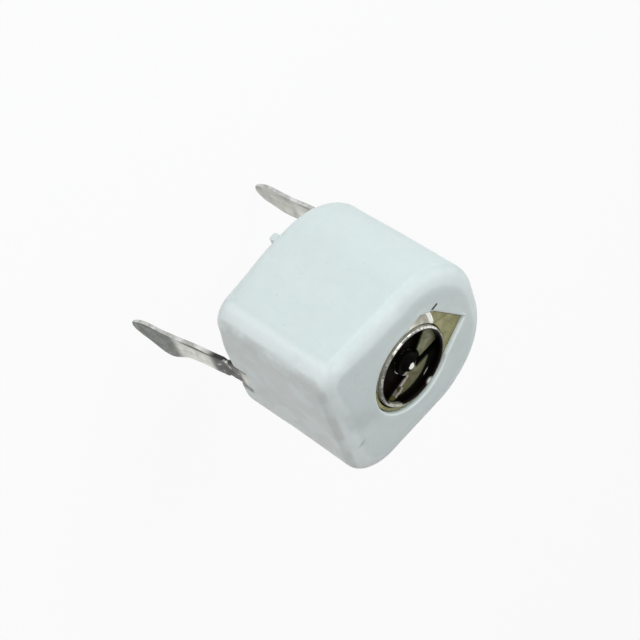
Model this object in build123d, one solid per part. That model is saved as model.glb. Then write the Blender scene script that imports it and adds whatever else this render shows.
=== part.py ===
"""Top-adjust trimmer capacitor with a white moulded case, a turning rotor and two blade leads.

Millimetres. Origin: the rotor axis where it meets the board seat (underside of the stand-off feet).
+Z runs up the rotor axis, out of the adjusting face; the leads leave along -Z, at -X and +X.
"""
import os

from build123d import *

OVER = 0.1                     # how far a cutter runs past what it cuts

# case
CASE_X = 6.0
CASE_Y = 5.6
CASE_H = 4.70
WALL = 0.50
SEAT_GAP = 0.22                # stand-off under the case
TOP = SEAT_GAP + CASE_H        # adjusting face
ROOF = TOP - WALL              # inner face of the top wall
TOP_EDGE_R = 1.30 * WALL
BOTTOM_EDGE_R = 0.66 * WALL
# corner radii, keyed by the signs of x and y, as shares of the case's depth
CORNERS = {(-1, -1): 0.26, (-1, 1): 0.24, (1, 1): 0.43, (1, -1): 0.435}
FOOT_X = 0.12                  # feet under the y walls, just off the middle
FOOT_Y = CASE_Y / 2 - 0.7 * WALL
FOOT_L = 0.28                  # along x
FOOT_W = 0.28
FIT_PLAY = 0.03                # loose fit of inner pieces against the wall

# leads
LEAD_T = 0.14
LEAD_HALF = 0.43               # half the blade's width
LEAD_X = CASE_X / 2 - 0.25 * WALL
LEAD_Y = -LEAD_HALF - FIT_PLAY
LEAD_BEND_Z = SEAT_GAP
STRAP_Z = SEAT_GAP + 0.13 * CASE_H
ROTOR_LEAD_TIP = 3.85          # below the seat
STATOR_LEAD_TIP = 4.28
ROTOR_LEAD_LEAN = 9.0          # degrees, outwards
STATOR_LEAD_LEAN = -4.5
SLOT_PLAY = 0.12               # each side of the lead in the wall
RISER_PLAY = 0.05              # rotor terminal's riser to the wall

# stack inside the case
RUN = 0.02                     # axial running clearance between turning and fixed pieces
RADIAL_RUN = 0.06
FILM_T = 0.05
SHAFT_R = 0.40
BASE_HOLE_R = SHAFT_R + RADIAL_RUN
BASE_Z = SEAT_GAP + 0.36 * WALL
STATOR_Z = STRAP_Z + LEAD_T
STATOR_T = 0.32 * CASE_H
STATOR_PLAY = 0.15             # stator disc to the wall
STATOR_R = min(CASE_X / 2 - LEAD_T - RISER_PLAY, CASE_Y / 2) - WALL - STATOR_PLAY
CUP_H = 0.266 * CASE_H
ROTOR_Z = STATOR_Z + STATOR_T + RUN
ROTOR_R = 0.815 * STATOR_R
ROTOR_T = TOP - CUP_H - ROTOR_Z
CONTACT_T = 0.15

# rotor cup and what it holds
CUP_WALL = 0.12
FLANGE_Z = TOP - CUP_H
FLANGE_R = 0.98 * ROTOR_R
CUP_OUT_R = 0.76 * FLANGE_R
CUP_IN_R = CUP_OUT_R - CUP_WALL
PLATE_DEPTH = 0.22             # drive plate below the rim
PLATE_T = 0.15
PLATE_TOP = TOP - PLATE_DEPTH
PLATE_LOW = PLATE_TOP - PLATE_T
NUB_R = 0.25 * CUP_IN_R        # rivet head
NUB_NECK_R = 0.74 * NUB_R
NUB_H = 0.78 * PLATE_DEPTH

# opening in the adjusting face
HOLE_GAP = 0.19                # hole's edge to the cup
HOLE_R = CUP_OUT_R + HOLE_GAP
SLIT_W = 0.10
SLIT_ANGLE = 8
OPENING_EDGE_R = 0.06
PAD_TOP = TOP - 0.24 * WALL    # raised part of the contact plate, inside the opening

# under the base
RIVET_Z = 0.18 * BASE_Z
WASHER_Z = 0.50 * BASE_Z
WASHER_T = 0.20 * BASE_Z
SPRING_T = 0.05


def plan(inset, z=0.0):
    """Case outline, drawn in by inset, as a face at height z."""
    half_x = CASE_X / 2 - inset
    half_y = CASE_Y / 2 - inset
    face = Rectangle(2 * half_x, 2 * half_y)
    for (sx, sy), share in CORNERS.items():
        corner = face.vertices().sort_by_distance((sx * half_x, sy * half_y, 0))[0]
        face = fillet(corner, max(share * CASE_Y - inset, 0.3 * WALL))
    return Pos(0, 0, z) * face


def prism(face, height):
    return extrude(face, amount=height, dir=(0, 0, 1))


def tube(outer_r, inner_r, z, height):
    return prism(Pos(0, 0, z) * (Circle(outer_r) - Circle(inner_r)), height)


def disc(radius, z, height):
    return prism(Pos(0, 0, z) * Circle(radius), height)


def block(x0, x1, y0, y1, z0, z1):
    centre = Pos((x0 + x1) / 2, (y0 + y1) / 2, (z0 + z1) / 2)
    return centre * Box(x1 - x0, y1 - y0, z1 - z0)


def outline(size, points):
    """Closed polygon from points given as shares of size."""
    return Polygon(*[(size * x, size * y) for x, y in points], align=None)


def half_ring(inner_r, outer_r, z):
    """Half-ring on the +y side, for an electrode film."""
    half = Pos(0, 0.53 * outer_r, 0) * Rectangle(2.2 * outer_r, outer_r)
    return Pos(0, 0, z) * ((Circle(outer_r) - Circle(inner_r)) & half)


def teardrop(radius):
    """Round hole drawn out into a notch towards +x, with a shoulder on the +y side."""
    notch = [(0, 0), (-0.15, 0.95), (0.52, 1.055), (0.84, 0.83), (1.49, -0.10), (0.55, -0.77)]
    return Circle(radius) + outline(radius, notch)


def slit():
    """Narrow slit that runs out from the teardrop's shoulder."""
    return Pos(0.85 * HOLE_R, 0.912 * HOLE_R, 0) * Rot(0, 0, SLIT_ANGLE) * Rectangle(0.24 * HOLE_R, SLIT_W)


def make_case():
    body = prism(plan(0, SEAT_GAP), CASE_H)
    body = fillet(body.edges().group_by(Axis.Z)[-1], TOP_EDGE_R)
    body = fillet(body.edges().group_by(Axis.Z)[0], BOTTOM_EDGE_R)
    through = TOP - ROOF + 2 * OVER
    body -= prism(Pos(0, 0, ROOF - OVER) * teardrop(HOLE_R), through)
    face = body.faces().sort_by(Axis.Z)[-1]
    body = fillet(face.inner_wires()[0].edges(), OPENING_EDGE_R)
    body -= prism(Pos(0, 0, ROOF - OVER) * slit(), through)
    body -= prism(plan(WALL, SEAT_GAP - OVER), ROOF - SEAT_GAP + OVER)
    half_slot = LEAD_HALF + SLOT_PLAY
    for side in (-1, 1):
        x0, x1 = sorted((side * (CASE_X / 2 - WALL - OVER), side * (CASE_X / 2 + OVER)))
        body -= block(x0, x1, LEAD_Y - half_slot, LEAD_Y + half_slot, SEAT_GAP - OVER, STATOR_Z)
        foot = block(-FOOT_L / 2, FOOT_L / 2, -FOOT_W / 2, FOOT_W / 2, 0, SEAT_GAP + BOTTOM_EDGE_R / 2)
        foot = Pos(FOOT_X, side * FOOT_Y, 0) * foot
        body += chamfer(foot.edges().group_by(Axis.Z)[0], 0.14 * FOOT_W)
    return body


def make_base():
    body = prism(plan(WALL, BASE_Z), STRAP_Z - BASE_Z)
    return body - disc(BASE_HOLE_R, 0, STRAP_Z + OVER)


def blade(side, lean, length, swell=1.0):
    """Flat lead in the y-z plane with a swollen end, leaning out by lean degrees; swell scales the swelling."""
    w = LEAD_HALF
    g = SEAT_GAP
    neck = 0.8 * w
    head = [(w, 1.3 * g), (w, 0.6 * g), (neck, 0.35 * g), (neck, -0.1 * g), (w, -0.45 * g)]
    end = [(1, 2.20), (0.72, 0.98), (0.28, 0.12), (-0.19, 0), (-0.60, 0.23), (-1.14, 1.12), (-1.93, 2.28),
           (-1.98, 3.14), (-1.47, 4.30), (-1, 5.46)]
    end = [(w * (y if y > -1 else swell * (y + 1) - 1), w * z - length) for y, z in end]
    with BuildSketch(Plane.YZ) as sketch:
        with BuildLine():
            Polyline(*head, end[0])
            Spline(*end, tangents=[(0, -1), (0, 1)])
            Polyline(end[-1], *[(-y, z) for y, z in reversed(head)], head[0])
        make_face()
    body = extrude(sketch.sketch, amount=LEAD_T / 2, both=True)
    turned = Pos(0, 0, LEAD_BEND_Z) * Rot(0, -side * lean, 0) * Pos(0, 0, -LEAD_BEND_Z) * body
    return Pos(side * LEAD_X, LEAD_Y, 0) * turned


def strap(side, inner_x, riser_top=None):
    """Bent strip, seen along y: across the wall, then down to the lead; with a riser if riser_top is given."""
    out = LEAD_X + LEAD_T / 2
    down = LEAD_X - LEAD_T / 2
    tight, wide = 0.36 * LEAD_T, 1.3 * LEAD_T
    points = [(inner_x, STRAP_Z), (down, STRAP_Z), (down, LEAD_BEND_Z), (out, LEAD_BEND_Z), (out, STATOR_Z)]
    bends = {(down, STRAP_Z): tight, (out, STATOR_Z): wide}
    if riser_top is None:
        points += [(inner_x, STATOR_Z)]
    else:
        corner = (inner_x + LEAD_T, STATOR_Z)
        points += [corner, (inner_x + LEAD_T, riser_top), (inner_x, riser_top)]
        bends[(inner_x, STRAP_Z)] = wide
        bends[corner] = tight
    flat = Plane.XZ * Polygon(*[(side * x, z) for x, z in points], align=None)
    for (x, z), radius in bends.items():
        flat = fillet(flat.vertices().sort_by_distance((side * x, 0, z))[0], radius)
    return Pos(0, LEAD_Y, 0) * extrude(flat, amount=LEAD_HALF, both=True)


def make_rotor_terminal():
    inner_x = CASE_X / 2 - WALL - RISER_PLAY - LEAD_T
    return strap(-1, inner_x, ROOF - CONTACT_T) + blade(-1, ROTOR_LEAD_LEAN, ROTOR_LEAD_TIP)


def make_stator_terminal():
    ring = tube(0.75 * STATOR_R, 2 * SHAFT_R, STRAP_Z, LEAD_T)
    return ring + strap(1, 0.62 * STATOR_R) + blade(1, STATOR_LEAD_LEAN, STATOR_LEAD_TIP, 0.35)


def make_stator_film():
    return prism(half_ring(0.42 * STATOR_R, 0.90 * STATOR_R, STATOR_Z), FILM_T)


def make_stator_disc():
    body = tube(STATOR_R, BASE_HOLE_R, STATOR_Z, STATOR_T)
    body = chamfer(body.edges().filter_by(GeomType.CIRCLE).sort_by(SortBy.RADIUS)[-2:], 0.04 * STATOR_R)
    return body - make_stator_film()


def make_rotor_film():
    return prism(half_ring(0.43 * ROTOR_R, 0.92 * ROTOR_R, ROTOR_Z), FILM_T)


def make_rotor_disc():
    """Dark ceramic with a boss that fills the cup up to the drive plate."""
    body = disc(ROTOR_R, ROTOR_Z, ROTOR_T) + disc(CUP_IN_R, FLANGE_Z, PLATE_LOW - FLANGE_Z)
    body -= disc(SHAFT_R, ROTOR_Z - OVER, PLATE_LOW - ROTOR_Z + 2 * OVER)
    return body - make_rotor_film()


def make_cup():
    """Cup wall with a rolled rim, and the flange that holds it on the ceramic."""
    r = CUP_WALL / 2
    with BuildSketch(Plane.XZ) as sketch:
        with BuildLine():
            Polyline((CUP_IN_R, TOP - r), (CUP_IN_R, FLANGE_Z), (FLANGE_R, FLANGE_Z), (FLANGE_R, FLANGE_Z + CUP_WALL),
                     (CUP_OUT_R, FLANGE_Z + CUP_WALL), (CUP_OUT_R, TOP - r))
            ThreePointArc((CUP_OUT_R, TOP - r), ((CUP_IN_R + CUP_OUT_R) / 2, TOP), (CUP_IN_R, TOP - r))
        make_face()
    return revolve(sketch.sketch, Axis.Z)


def make_drive_plate():
    """Pressed plate: one wedge and one segment, with the driver's slot between them, joined at the middle."""
    r = CUP_IN_R
    wedge = outline(r, [(0.17, -0.08), (0.42, -0.14), (1.2, -0.14), (1.2, 0.74), (0.77, 0.54), (0.29, 0.04)])
    segment = outline(r, [(-1.2, -0.67), (-0.80, -0.52), (-0.25, -0.39), (1.2, -0.39), (1.2, -1.2), (-1.2, -1.2)])
    neck = Pos(0.02 * r, -0.30 * r, 0) * Rectangle(0.35 * r, 0.25 * r)
    plate = ((wedge + segment) & Circle(r)) + Circle(0.32 * r) + neck
    body = prism(Pos(0, 0, PLATE_LOW) * (plate - Circle(NUB_NECK_R)), PLATE_T)
    lip = Box(0.30 * r, 0.076 * r, 0.08 * r, align=(Align.CENTER, Align.CENTER, Align.MIN))
    return body + Pos(-0.555 * r, -0.50 * r, PLATE_TOP) * Rot(0, 0, 14) * lip


def make_rivet():
    shaft = disc(SHAFT_R, RIVET_Z, PLATE_LOW - RIVET_Z)
    neck = disc(NUB_NECK_R, PLATE_LOW, PLATE_T)
    nub = disc(NUB_R, PLATE_TOP, NUB_H)
    nub = fillet(nub.edges().group_by(Axis.Z)[-1], 0.27 * NUB_R)
    foot = disc(1.55 * SHAFT_R, RIVET_Z, WASHER_Z - RIVET_Z)
    foot = fillet(foot.edges().group_by(Axis.Z)[0], 0.15 * SHAFT_R)
    return shaft + neck + nub + foot


def make_washer():
    return tube(2.15 * SHAFT_R, SHAFT_R, WASHER_Z, WASHER_T)


def make_spring():
    """Shallow cone washer between the retaining washer and the base."""
    t = SPRING_T
    low, high = WASHER_Z + WASHER_T, BASE_Z - RUN
    r = SHAFT_R
    flat = Plane.XZ * Polygon((1.1 * r, low), (1.3 * r, low), (2.45 * r, high - t), (2.45 * r, high),
                              (2.25 * r, high), (1.1 * r, low + t), align=None)
    return revolve(flat, Axis.Z)


def make_contact_plate():
    z = ROOF - CONTACT_T
    hole = CUP_OUT_R + RADIAL_RUN
    plate = prism(plan(WALL + FIT_PLAY, z), CONTACT_T)
    collar_z = FLANGE_Z + CUP_WALL + RUN
    body = plate + disc(hole + CUP_WALL, collar_z, z - collar_z + CONTACT_T / 2)
    pad_z = ROOF - CONTACT_T / 2
    lower_part = Pos(0, -0.8 * HOLE_R, pad_z) * Rectangle(4 * HOLE_R, 2 * HOLE_R)
    body += prism(lower_part & (Pos(0, 0, pad_z) * teardrop(HOLE_R - FIT_PLAY)), PAD_TOP - pad_z)
    return body - disc(hole, collar_z - OVER, TOP - collar_z + 2 * OVER)


PIECES = {
    "case": make_case,
    "base": make_base,
    "contact_plate": make_contact_plate,
    "rotor_terminal": make_rotor_terminal,
    "stator_terminal": make_stator_terminal,
    "stator_disc": make_stator_disc,
    "stator_film": make_stator_film,
    "rotor_disc": make_rotor_disc,
    "rotor_film": make_rotor_film,
    "rotor_cup": make_cup,
    "drive_plate": make_drive_plate,
    "rivet": make_rivet,
    "retaining_washer": make_washer,
    "spring_washer": make_spring,
}

os.makedirs("parts", exist_ok=True)
for name, make in PIECES.items():
    solid = make()
    solid.label = name
    export_step(solid, f"parts/{name}.step")
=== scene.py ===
"""Looks of the trimmer capacitor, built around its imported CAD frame. Lengths in the code are millimetres."""
import math

import bmesh
import bpy
from mathutils import Matrix, Vector, noise


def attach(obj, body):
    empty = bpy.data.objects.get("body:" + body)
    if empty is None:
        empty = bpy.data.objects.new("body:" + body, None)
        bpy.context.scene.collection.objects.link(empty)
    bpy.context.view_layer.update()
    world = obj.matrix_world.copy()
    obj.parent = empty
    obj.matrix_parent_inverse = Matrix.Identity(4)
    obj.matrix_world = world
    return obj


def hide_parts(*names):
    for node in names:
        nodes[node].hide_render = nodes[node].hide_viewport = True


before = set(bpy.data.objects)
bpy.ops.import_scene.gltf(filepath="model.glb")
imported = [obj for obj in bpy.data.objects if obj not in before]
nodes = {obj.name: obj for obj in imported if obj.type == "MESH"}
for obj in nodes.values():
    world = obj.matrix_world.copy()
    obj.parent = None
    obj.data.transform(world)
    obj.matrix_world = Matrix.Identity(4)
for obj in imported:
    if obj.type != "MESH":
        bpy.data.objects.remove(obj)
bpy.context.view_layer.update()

MM = 0.001
scene = bpy.context.scene
scene.view_settings.view_transform = "Standard"

# main sizes, as in the part's source
HALF_X, HALF_Y = 3.0, 2.8
GAP, TOP, WALL = 0.22, 4.92, 0.50
ROOF = TOP - WALL
TOP_R, LOW_R, EDGE_DROP = 0.65, 0.33, 0.42
TOP_INSET = 0.80               # width of the top edge's rounding where it is wider than high
CORNERS = {(-1, -1): 1.456, (-1, 1): 0.86, (1, 1): 2.408, (1, -1): 2.436}
WORN_CORNER = 136              # polar angle of the worn corner between -X and +Y, in degrees
RIM_RISE = 0.17                # how far the lower rim is worn back there
HOLE_R, EDGE_R = 1.4974, 0.06
# notch of the teardrop opening, in units of the hole's radius
NOTCH = [(-0.15, 0.95), (0.52, 1.055), (0.84, 0.83), (1.49, -0.10), (0.55, -0.77)]
SLIT_X, SLIT_Y, SLIT_TURN = 0.85 * HOLE_R, 0.912 * HOLE_R, math.radians(8)
FOOT_X, FOOT_HALF = 0.12, 0.14
LEAD_T, LEAD_HALF, LEAD_X, LEAD_Y = 0.14, 0.43, 2.875, -0.46
STRAP_Z, STRAP_TOP = 0.831, 0.971
SLOT_PLAY, RISER_PLAY, FIT_PLAY = 0.12, 0.05, 0.03
SLOT_SPLAY = 0.05              # more play at the +X slot's -Y side, where the wall curves away
STATOR_R, SHAFT_R = 2.15, 0.40
COLLAR_R, COLLAR_END = 1.35, 1.21
CUP_IN, CUP_OUT, FLANGE_R, FLANGE_Z = 1.1874, 1.3074, 1.7172, 3.6698
PLATE_TOP, PLATE_LOW = 4.70, 4.55
NUB_NECK, NUB_H = 0.2197, 0.1716
RIVET_Z, WASHER_Z = 0.072, 0.20


# helpers
def lerp(a, b, t):
    return a + (b - a) * t


def rough(x, y, z, scale, seed=0.0):
    """Smooth noise of about -1 to 1; scale is features per millimetre."""
    return noise.noise(Vector((x * scale + seed, y * scale - seed, z * scale + 2 * seed)))


def make_object(name, verts, faces, sharp=38.0):
    mesh = bpy.data.meshes.new(name)
    mesh.from_pydata([(x * MM, y * MM, z * MM) for x, y, z in verts], [], faces)
    mesh.validate()
    bm = bmesh.new()
    bm.from_mesh(mesh)
    bmesh.ops.remove_doubles(bm, verts=bm.verts, dist=1e-8)
    bmesh.ops.recalc_face_normals(bm, faces=bm.faces)
    bm.to_mesh(mesh)
    bm.free()
    mesh.polygons.foreach_set("use_smooth", [True] * len(mesh.polygons))
    mesh.set_sharp_from_angle(angle=math.radians(sharp))
    obj = bpy.data.objects.new(name, mesh)
    scene.collection.objects.link(obj)
    return obj


def grid_faces(rows, cols, closed_rows=False, closed_cols=False):
    """Quads over a grid of rows times cols vertices, stored row by row."""
    faces = []
    for j in range(rows if closed_rows else rows - 1):
        for i in range(cols if closed_cols else cols - 1):
            a, b = (i + 1) % cols, (j + 1) % rows
            faces.append((j * cols + i, j * cols + a, b * cols + a, b * cols + i))
    return faces


# case
def ray_outline(theta, inset):
    """Point of the case outline at polar angle theta, and its normal; the outline drawn in by inset."""
    dx, dy = math.cos(theta), math.sin(theta)
    hx, hy = HALF_X - inset, HALF_Y - inset
    tx = hx / abs(dx) if abs(dx) > 1e-9 else 1e9
    ty = hy / abs(dy) if abs(dy) > 1e-9 else 1e9
    t = min(tx, ty)
    sx, sy = (1 if dx >= 0 else -1), (1 if dy >= 0 else -1)
    r = CORNERS[(sx, sy)] - inset
    cx, cy = sx * (hx - r), sy * (hy - r)
    if (t * dx - cx) * sx > 0 and (t * dy - cy) * sy > 0:
        b = dx * cx + dy * cy
        t = b + math.sqrt(max(b * b - (cx * cx + cy * cy - r * r), 0))
        return (t * dx, t * dy), ((t * dx - cx) / r, (t * dy - cy) / r)
    normal = (sx, 0) if tx < ty else (0, sy)
    return (t * dx, t * dy), normal


def opening_radius(theta):
    """Polar radius of the teardrop: the round hole, or the notch where that reaches further."""
    radius = HOLE_R
    dx, dy = math.cos(theta), math.sin(theta)
    for (ax, ay), (bx, by) in zip(NOTCH, NOTCH[1:]):
        ex, ey = bx - ax, by - ay
        cross = dx * ey - dy * ex
        if abs(cross) < 1e-9:
            continue
        along = (ax * ey - ay * ex) / cross
        share = (ax * dy - ay * dx) / cross
        if along > 0 and 0 <= share <= 1:
            radius = max(radius, HOLE_R * along)
    return radius


def case_angles():
    """Polar angles of the case's rings, with the corners of the opening and the lead slots among them."""
    marks = [math.degrees(math.atan2(y, x)) for x, y in NOTCH[1:-1]]
    slots = []
    half_slot = LEAD_HALF + SLOT_PLAY
    for sx, splay in ((-1, 0.0), (1, SLOT_SPLAY)):
        pair = []
        for y in (LEAD_Y - half_slot - splay, LEAD_Y + half_slot):
            # ray whose point, pushed out to the wall, has this y
            lo, hi = math.radians(-60), math.radians(60)
            for _ in range(50):
                mid = (lo + hi) / 2
                theta = mid if sx > 0 else math.pi - mid
                (_px, py), n = ray_outline(theta, TOP_R)
                lo, hi = (mid, hi) if py + TOP_R * n[1] < y else (lo, mid)
            theta = lo if sx > 0 else math.pi - lo
            pair.append(math.degrees(theta) % 360)
        slots.append(pair)
        marks += pair
    marks = sorted(m % 360 for m in marks)
    angles = [a for a in range(360) if all(abs((a - m + 180) % 360 - 180) > 0.45 for m in marks)]
    # the tight corner between -X and +Y needs closer rings
    angles += [133.25 + k / 4 for k in range(36) if k % 4 != 3]
    angles = sorted(angles + marks)
    return [math.radians(a) for a in angles], slots


def rim_lift(theta):
    """1 at the corner between -X and +Y, where the lower rim is most worn, falling to 0 around it."""
    off = math.degrees(theta) - WORN_CORNER
    if off > 0:
        return math.exp(-(off / 15) ** 2)
    t = min(max(1 + off / 48, 0), 1)
    return t * t * (1.6 - 0.6 * t)


def sag(x, y, z, nx, ny):
    """How far the moulded skin lies below the nominal surface: soft waves and one shallow sink a side."""
    d = 0.016 + 0.014 * rough(x, y, z, 0.55, 3.1) + 0.006 * rough(x, y, z, 1.7, 7.7)
    if ny > 0.5:
        d += 0.030 * math.exp(-((x - 0.1) ** 2 + (z - 2.4) ** 2) / 2.2)
    if nx < -0.5:
        d += 0.024 * math.exp(-((y + 0.2) ** 2 + (z - 2.5) ** 2) / 1.8)
    if ny < -0.5:
        d += 0.030 * math.exp(-(x ** 2 + (z - 2.6) ** 2) / 2.0)
    return max(d, 0.0)


def case_rings(angles):
    """Rings of the case: over the adjusting face, through the opening, down inside and up the outside."""
    count = len(angles)
    base = [ray_outline(a, TOP_R) for a in angles]
    hole = [(opening_radius(a) * math.cos(a), opening_radius(a) * math.sin(a)) for a in angles]
    # normals of the opening's outline, pointing away from the axis
    hole_n = []
    for i in range(count):
        (ax, ay), (bx, by) = hole[i - 1], hole[(i + 1) % count]
        tx, ty = bx - ax, by - ay
        length = math.hypot(tx, ty)
        hole_n.append((ty / length, -tx / length))

    def at_inset(i, inset):
        (px, py), (nx, ny) = base[i]
        return px + (TOP_R - inset) * nx, py + (TOP_R - inset) * ny

    def beside_hole(i, off):
        return hole[i][0] + off * hole_n[i][0], hole[i][1] + off * hole_n[i][1]

    # the rounding of the top edge is wider than high, but for the notch's side and the worn corner
    flat = []
    for a in angles:
        near = math.exp(-(((math.degrees(a) + 4 + 180) % 360 - 180) / 38) ** 4)
        near += math.exp(-((math.degrees(a) % 360 - WORN_CORNER) / 20) ** 4)
        flat.append(lerp(TOP_INSET, TOP_R, near))
    rows = []
    tags = []

    def add(row, tag):
        rows.append(row)
        tags.append(tag)

    for k in range(13):
        t = k / 12
        row = []
        for i in range(count):
            x0, y0 = at_inset(i, flat[i])
            x1, y1 = beside_hole(i, EDGE_R)
            row.append((lerp(x0, x1, t), lerp(y0, y1, t), TOP))
        add(row, "top")
    for k in range(1, 5):
        a = math.radians(90 * k / 4)
        off = EDGE_R * (1 - math.sin(a))
        drop = EDGE_R * (1 - math.cos(a))
        add([(*beside_hole(i, off), TOP - drop) for i in range(count)], "lip")
    for z in (4.75, 4.60, ROOF):
        add([(hole[i][0], hole[i][1], z) for i in range(count)], "bore")
    for t in (0.5, 1.0):
        add([(lerp(hole[i][0], at_inset(i, WALL)[0], t), lerp(hole[i][1], at_inset(i, WALL)[1], t), ROOF)
             for i in range(count)], "inner")
    lift = [rim_lift(a % (2 * math.pi)) for a in angles]
    for z in (3.3, 2.1, STRAP_TOP, 0.6, GAP):
        rise = RIM_RISE if z == GAP else 0.0
        tag = "slot_in" if z == STRAP_TOP else "inner"
        add([(*at_inset(i, WALL), z + rise * lift[i]) for i in range(count)], tag)
    for k in range(9):
        a = math.radians(90 * k / 8)
        row = []
        for i in range(count):
            inset = (LOW_R + 0.08 * lift[i]) * (1 - math.sin(a))
            z = GAP + RIM_RISE * lift[i] + (LOW_R + 0.24 * lift[i]) * (1 - math.cos(a))
            row.append((*at_inset(i, inset), z))
        add(row, "outer")
    low_wall = [row[i][2] for i in range(count)]
    add([(*at_inset(i, 0), max(STRAP_TOP, low_wall[i] + 0.06)) for i in range(count)], "slot_out")
    for k in range(1, 14):
        z = lerp(STRAP_TOP, TOP - EDGE_DROP, k / 14)
        add([(*at_inset(i, 0), max(z, low_wall[i] + 0.06 + 0.04 * k)) for i in range(count)], "outer")
    for k in range(14):
        a = math.radians(90 * k / 14)
        z = TOP - EDGE_DROP * (1 - math.sin(a))
        add([(*at_inset(i, flat[i] * (1 - math.cos(a))), z) for i in range(count)], "outer")
    return rows, tags


def wave_skin(rows, tags):
    """Points of the rings with the skin's small waves, which fade out at the opening and the rim below."""
    total, count = len(rows), len(rows[0])
    verts = []
    for j, row in enumerate(rows):
        a, b = rows[(j + 1) % total], rows[j - 1]
        for i, (x, y, z) in enumerate(row):
            if tags[j] in ("outer", "slot_out", "top"):
                along = Vector(row[(i + 1) % count]) - Vector(row[i - 1])
                across = Vector(a[i]) - Vector(b[i])
                n = across.cross(along)
                if n.length > 1e-9:
                    n.normalize()
                    if n.dot(Vector((x, y, z - 2.4))) < 0:
                        n = -n
                    fade = 1.0
                    if tags[j] == "top":
                        fade = min(1.0, (12 - j) / 5)
                    elif z < 0.6:
                        fade = 0.5
                    d = sag(x, y, z, n.x, n.y) * fade
                    if tags[j] != "top" and n.x < 0 < n.y:
                        # low ridge along the corner, dying out towards the adjusting face
                        off = math.degrees(math.atan2(n.y, -n.x)) - 33
                        fade = min(max((4.9 - z) / 0.8, 0), 1) * (1 - abs(n.z)) ** 2
                        d -= 0.030 * math.exp(-(off / 15) ** 2) * fade
                    x, y, z = x - n.x * d, y - n.y * d, z - n.z * d
            verts.append((x, y, z))
    return verts


def slot_columns(angles, slots):
    """For each column between two angles, whether it lies in a lead slot."""
    columns = []
    for a, b in zip(angles, angles[1:] + angles[:1]):
        a, b = math.degrees(a), math.degrees(b)
        mid = (a + ((b - a) % 360) / 2) % 360
        inside = False
        for lo, hi in slots:
            lo, hi = (hi, lo) if (hi - lo) % 360 > 180 else (lo, hi)
            inside = inside or 0 < (mid - lo) % 360 < (hi - lo) % 360
        columns.append(inside)
    return columns


def make_case():
    angles, slots = case_angles()
    rows, tags = case_rings(angles)
    total, count = len(rows), len(angles)
    open_col = slot_columns(angles, slots)
    low_in, low_out = tags.index("slot_in"), tags.index("slot_out")
    faces = []
    for j in range(total):
        for i in range(count):
            if low_in <= j < low_out and open_col[i]:
                continue
            a, b = (i + 1) % count, (j + 1) % total
            faces.append((j * count + i, j * count + a, b * count + a, b * count + i))
    # roofs and sides of the two slots
    for i in range(count):
        if open_col[i]:
            a = (i + 1) % count
            faces.append((low_in * count + i, low_out * count + i, low_out * count + a, low_in * count + a))
        if open_col[i] != open_col[i - 1]:
            faces.append(tuple(j * count + i for j in range(low_in, low_out + 1)))
    return make_object("case_shell", wave_skin(rows, tags), faces)


def make_foot(side):
    """Moulded stand-off with a softened lower edge, grown out of the wall."""
    cx, cy = FOOT_X, side * (HALF_Y - 0.7 * WALL)
    rings = [(0.055, 0.0), (0.018, 0.016), (0.0, 0.055), (-0.004, 0.22), (-0.008, 0.385)]
    verts = []
    n = 40
    for inset, z in rings:
        for k in range(n):
            a = 2 * math.pi * k / n
            c, s = math.cos(a), math.sin(a)
            # a square with rounded corners: the power sets how tight they are
            r = (FOOT_HALF - inset) / (abs(c) ** 7 + abs(s) ** 7) ** (1 / 7)
            verts.append((cx + c * r, cy + s * r, z))
    faces = grid_faces(len(rings), n, closed_cols=True)
    faces.append(tuple(range(n)))
    faces.append(tuple(range((len(rings) - 1) * n, len(rings) * n)))
    return make_object(f"foot_{side}", verts, faces)


def make_slit():
    """Cutter for the narrow slit that runs out from the opening's shoulder."""
    shape = ((-0.18, -0.07), (0.16, -0.055), (0.18, -0.02), (0.18, 0.02), (0.16, 0.055), (-0.18, 0.07))
    c, s = math.cos(SLIT_TURN), math.sin(SLIT_TURN)
    verts = []
    for z in (ROOF - 0.1, TOP + 0.1):
        for u, v in shape:
            verts.append((SLIT_X + u * c - v * s, SLIT_Y + u * s + v * c, z))
    faces = grid_faces(2, 6, closed_cols=True) + [tuple(range(6)), tuple(range(6, 12))]
    return make_object("slit", verts, faces)


def join_boolean(body, other, kind="UNION"):
    mod = body.modifiers.new("join", "BOOLEAN")
    mod.operation = kind
    mod.solver = "EXACT"
    mod.object = other
    depsgraph = bpy.context.evaluated_depsgraph_get()
    mesh = bpy.data.meshes.new_from_object(body.evaluated_get(depsgraph))
    body.modifiers.clear()
    body.data = mesh
    bpy.data.objects.remove(other)


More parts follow.
